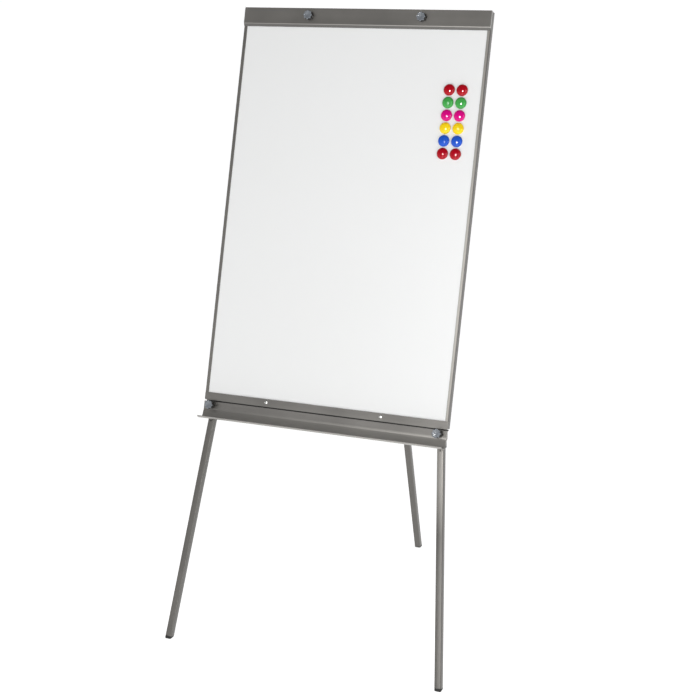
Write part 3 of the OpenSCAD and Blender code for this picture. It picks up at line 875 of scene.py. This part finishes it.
def frame_bolts():
    """Four button-head screws in the back of the frame."""
    head_h = 3.5 * MM
    back = axes(-X, BOARD.col[2].copy(), -OUT)
    low, high = span("frame_bolts", back)
    level = (low.y + high.y) / 2
    for side, across in (("right", -1), ("left", 1)):
        for row, above in (("low", -1), ("high", 1)):
            def keep(p):
                return p.x * across > 0 and (p.y - level) * above > 0
            end, top = span("frame_bolts", back, keep)
            centre = (end + top) / 2
            rod = threaded(2.5 * MM, end.z - top.z + head_h, 0.0, 0.8 * MM, 6, 20)
            at = back @ Vector((centre.x, centre.y, top.z - head_h))
            add("frame_bolt_%s_%s" % (side, row), merged(button_head(), rod), back, "board",
                ZINC, ["frame_bolts"], at)


HINGE_HEX = 13.0 * MM


def hinge_bolt():
    """The rear leg's hexagon bolt and its nut."""
    along = axes(Y, Z, X)
    low, high = span("hinge_bolt", along)
    centre = (low + high) / 2
    length = high.z - low.z
    thread_from = length - 12 * MM
    head = hex_solid(HINGE_HEX, 0, 5.0 * MM)
    rod = lathe([(0.4 * MM, 4.8 * MM), (4.0 * MM, 4.8 * MM), (4.0 * MM, thread_from)], 48)
    end = threaded(4.0 * MM, thread_from, length, 1.25 * MM)
    at = along @ Vector((centre.x, centre.y, low.z))
    add("hinge_bolt", merged(head, rod, end), along, "board", ZINC, ["hinge_bolt"], at)
    low, high = span("hinge_nut", along)
    nut = hex_solid(HINGE_HEX, 0, high.z - low.z, 4.02 * MM)
    at = along @ Vector((centre.x, centre.y, low.z))
    add("hinge_nut", nut, along, "board", ZINC, ["hinge_nut"], at)


def hinge_bracket():
    """The rear leg's bracket on the crossbar."""
    add("hinge_bracket", eased(copied("hinge_bracket", BOARD), 0.5 * MM, 3), BOARD, "board",
        FRAME_PAINT, ["hinge_bracket"], flat=True)


def tray_brackets():
    """The brackets between the tray and the leg tubes."""
    for side in SIDES:
        node = "tray_bracket_" + side
        add(node, eased(copied(node, LEG[side]), 0.4 * MM, 3), LEG[side], "board",
            FRAME_PAINT, [node], flat=True)


# ---- Magnets ----

def magnets():
    """Domed caps over ferrite discs, standing on the board."""
    disc = in_mm((0.3, 0.02), (10.6, 0.02), (11.0, 0.35), (11.0, 3.7), (10.7, 4.0), (0.3, 4.0))
    for row, slot in enumerate(MAGNET_ROWS, 1):
        for column in SIDES:
            node = "magnet_%d_%s" % (row, column)
            low, high = span(node, KNOB)
            at = KNOB @ Vector(((low.x + high.x) / 2, (low.y + high.y) / 2, low.z))
            radius = (high.x - low.x) / 2
            height = high.z - low.z
            straight = 1.8 * MM
            profile = [(11.2 * MM, 4.9 * MM), (11.2 * MM, 0.15 * MM), (11.35 * MM, 0.0)]
            profile += [(radius - 0.5 * MM, 0.0), (radius - 0.2 * MM, 0.12 * MM), (radius, 0.5 * MM)]
            steps = 24
            for i in range(steps + 1):
                a = math.pi / 2 * i / steps
                profile.append((max(0.3 * MM, radius * math.cos(a)),
                                straight + (height - straight) * math.sin(a)))
            shell = lathe([(0.3 * MM, 4.9 * MM)] + profile, 72)
            cap = add(node, shell, KNOB, node, MAGNET_PAINT[slot], [node], at)
            SHINY.objects.link(cap)
            add(node + "_disc", lathe(disc), KNOB, node, FERRITE, (), at)


# ---- Stage ----

def look_from(position, target):
    """Rotation of a lamp at a position that shines at the target."""
    return (Vector(target) - Vector(position)).to_track_quat("-Z", "Y").to_euler()


def softbox(name, position, target, size, power):
    """Square area lamp."""
    light = bpy.data.lights.new(name, "AREA")
    light.size = size
    light.energy = power
    lamp = bpy.data.objects.new(name, light)
    lamp.location = position
    lamp.rotation_euler = look_from(position, target)
    SCENE.collection.objects.link(lamp)
    return lamp


def floor():
    """A plain pale floor."""
    bm = bmesh.new()
    bmesh.ops.create_grid(bm, x_segments=8, y_segments=8, size=60)
    mesh = bpy.data.meshes.new("floor")
    bm.to_mesh(mesh)
    bm.free()
    ground = bpy.data.objects.new("floor", mesh)
    SCENE.collection.objects.link(ground)
    s = Shading("floor", Roughness=0.9, Specular_IOR_Level=0.1, Emission_Color=(1, 1, 1, 1),
                Emission_Strength=0.7)
    mesh.materials.append(s.finish(s.blend(s.noise(3.0, 3.0), (0.93, 0.93, 0.93), (0.95, 0.95, 0.95))))


def room():
    """A white room, darker overhead and towards the front."""
    world = SCENE.world or bpy.data.worlds.new("room")
    SCENE.world = world
    world.use_nodes = True
    tree = world.node_tree
    place = tree.nodes.new("ShaderNodeTexCoord")
    split = tree.nodes.new("ShaderNodeSeparateXYZ")
    ramp = tree.nodes.new("ShaderNodeValToRGB")
    tree.links.new(place.outputs["Generated"], split.inputs["Vector"])
    tree.links.new(split.outputs["Z"], ramp.inputs["Fac"])
    tree.links.new(ramp.outputs["Color"], tree.nodes["Background"].inputs["Color"])
    behind = tree.nodes.new("ShaderNodeMapRange")
    for socket, value in (("From Min", -0.3), ("From Max", 0.6), ("To Min", 0.5), ("To Max", 1.1)):
        behind.inputs[socket].default_value = value
    tree.links.new(split.outputs["Y"], behind.inputs["Value"])
    tree.links.new(behind.outputs["Result"], tree.nodes["Background"].inputs["Strength"])
    stops = ((0.0, 1.0), (0.26, 1.0), (0.44, 0.45), (1.0, 0.3))
    ramp.color_ramp.elements[0].color = (*[stops[0][1]] * 3, 1)
    ramp.color_ramp.elements[1].color = (*[stops[-1][1]] * 3, 1)
    for position, level in stops[1:-1]:
        ramp.color_ramp.elements.new(position).color = (level, level, level, 1)


def lamps():
    """Soft lamps around the easel's front, and one that only glints on the shiny pieces."""
    middle = (0, 0, 1.0)
    softbox("key", (2.7, -2.4, 2.2), middle, 0.9, 22)
    softbox("fill", (1.6, -1.3, 0.7), (0.2, -0.2, 0.8), 0.9, 4)
    softbox("low", (0.1, -2.6, 0.45), (0, 0, 0.7), 0.8, 6)
    softbox("front", (0, -3.97, 2.24), middle, 0.45, 33)
    glint = softbox("glint", (0, -3.9, 2.23), middle, 0.75, 200)
    glint.visible_diffuse = False
    glint.light_linking.receiver_collection = SHINY


def camera():
    """A long lens, a little above the board's top and to the right of its middle."""
    data = bpy.data.cameras.new("camera")
    data.sensor_width = 36
    data.lens = 77.85
    data.shift_x = 0.0186
    data.shift_y = 0.0254
    data.clip_end = 200
    made = bpy.data.objects.new("camera", data)
    made.location = (1.562, -3.7867, 1.7999)
    made.rotation_euler = (math.radians(90 - 15.021), 0, math.radians(23.525))
    SCENE.collection.objects.link(made)
    SCENE.camera = made


board()
clamp_bar()
pen_tray()
tubes()
rear_tubes()
feet()
clamp_knobs()
clamps()
rail_screws()
frame_bolts()
hinge_bolt()
hinge_bracket()
tray_brackets()
magnets()
floor()
room()
lamps()
camera()
SCENE.view_settings.view_transform = "Standard"
